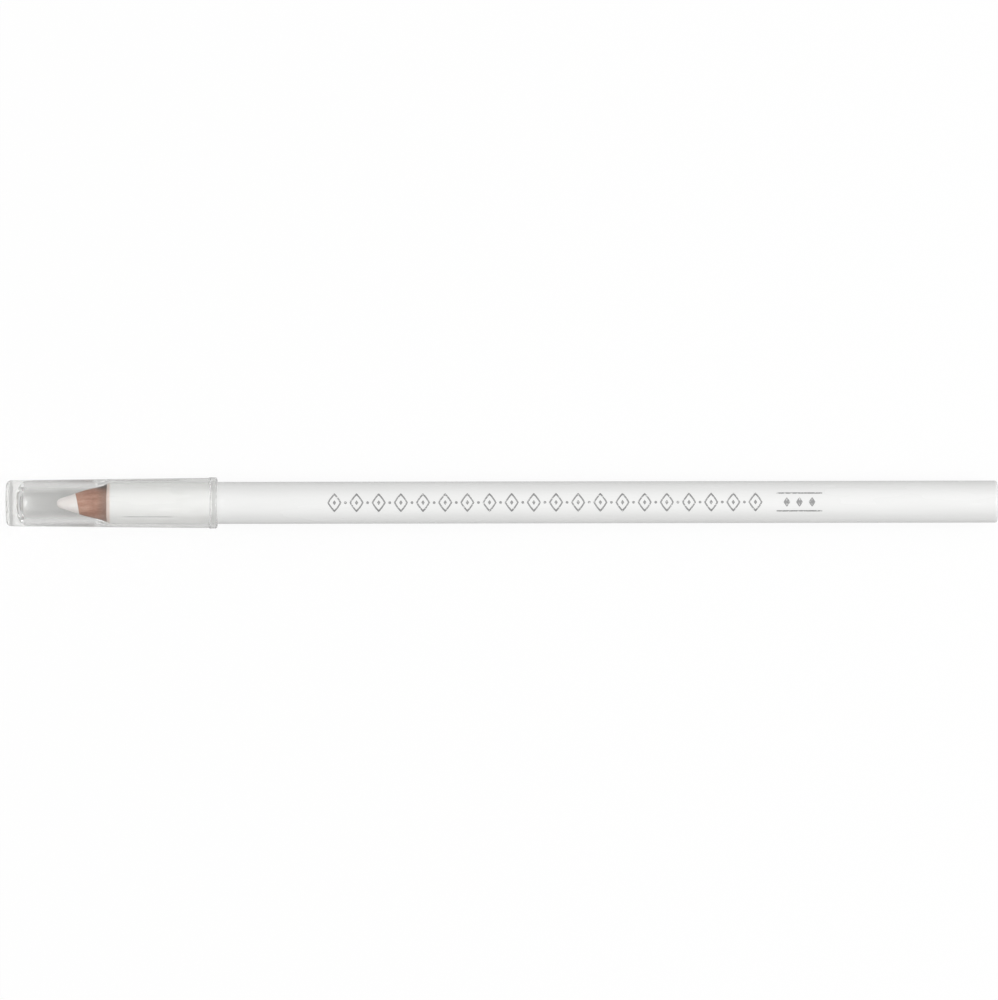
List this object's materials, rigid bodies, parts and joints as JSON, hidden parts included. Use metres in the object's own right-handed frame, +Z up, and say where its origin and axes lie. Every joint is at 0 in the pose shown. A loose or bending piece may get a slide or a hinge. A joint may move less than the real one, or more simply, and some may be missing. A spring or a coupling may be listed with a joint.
{
  "type": "capped kohl pencil",
  "caption": "Round white lacquered wood-cased kohl pencil with a blunt sharpened point under a clear push-on cap, lying on its side; the cap pulls off along the barrel.",
  "frame": {"origin": "under the middle of the capped pencil, on the surface that the cap's bead lies on", "axes": "+X along the pencil from the cap towards the dipped end, +Y across it, +Z up"},
  "size_m": [0.1844, 0.0094, 0.0095],
  "materials": {
    "cream_kohl": "soft waxy matte",
    "cedar": "bare, freshly cut",
    "white_lacquer": "smooth gloss",
    "silver_foil": "hot-stamped foil, satin",
    "clear_plastic": "clear, polished"
  },
  "bodies": {
    "pencil": {"kohl_lead": "cream_kohl", "upper_slat": "cedar", "lower_slat": "cedar", "lacquer_coat": "white_lacquer", "end_dip": "white_lacquer"},
    "cap": {"clear_cap": "clear_plastic"}
  },
  "joints": [
    {"name": "cap_pull", "type": "slide", "parent": "pencil", "child": "cap", "axis": [-1, 0, 0], "range_m": [0, 0.04]}
  ]
}
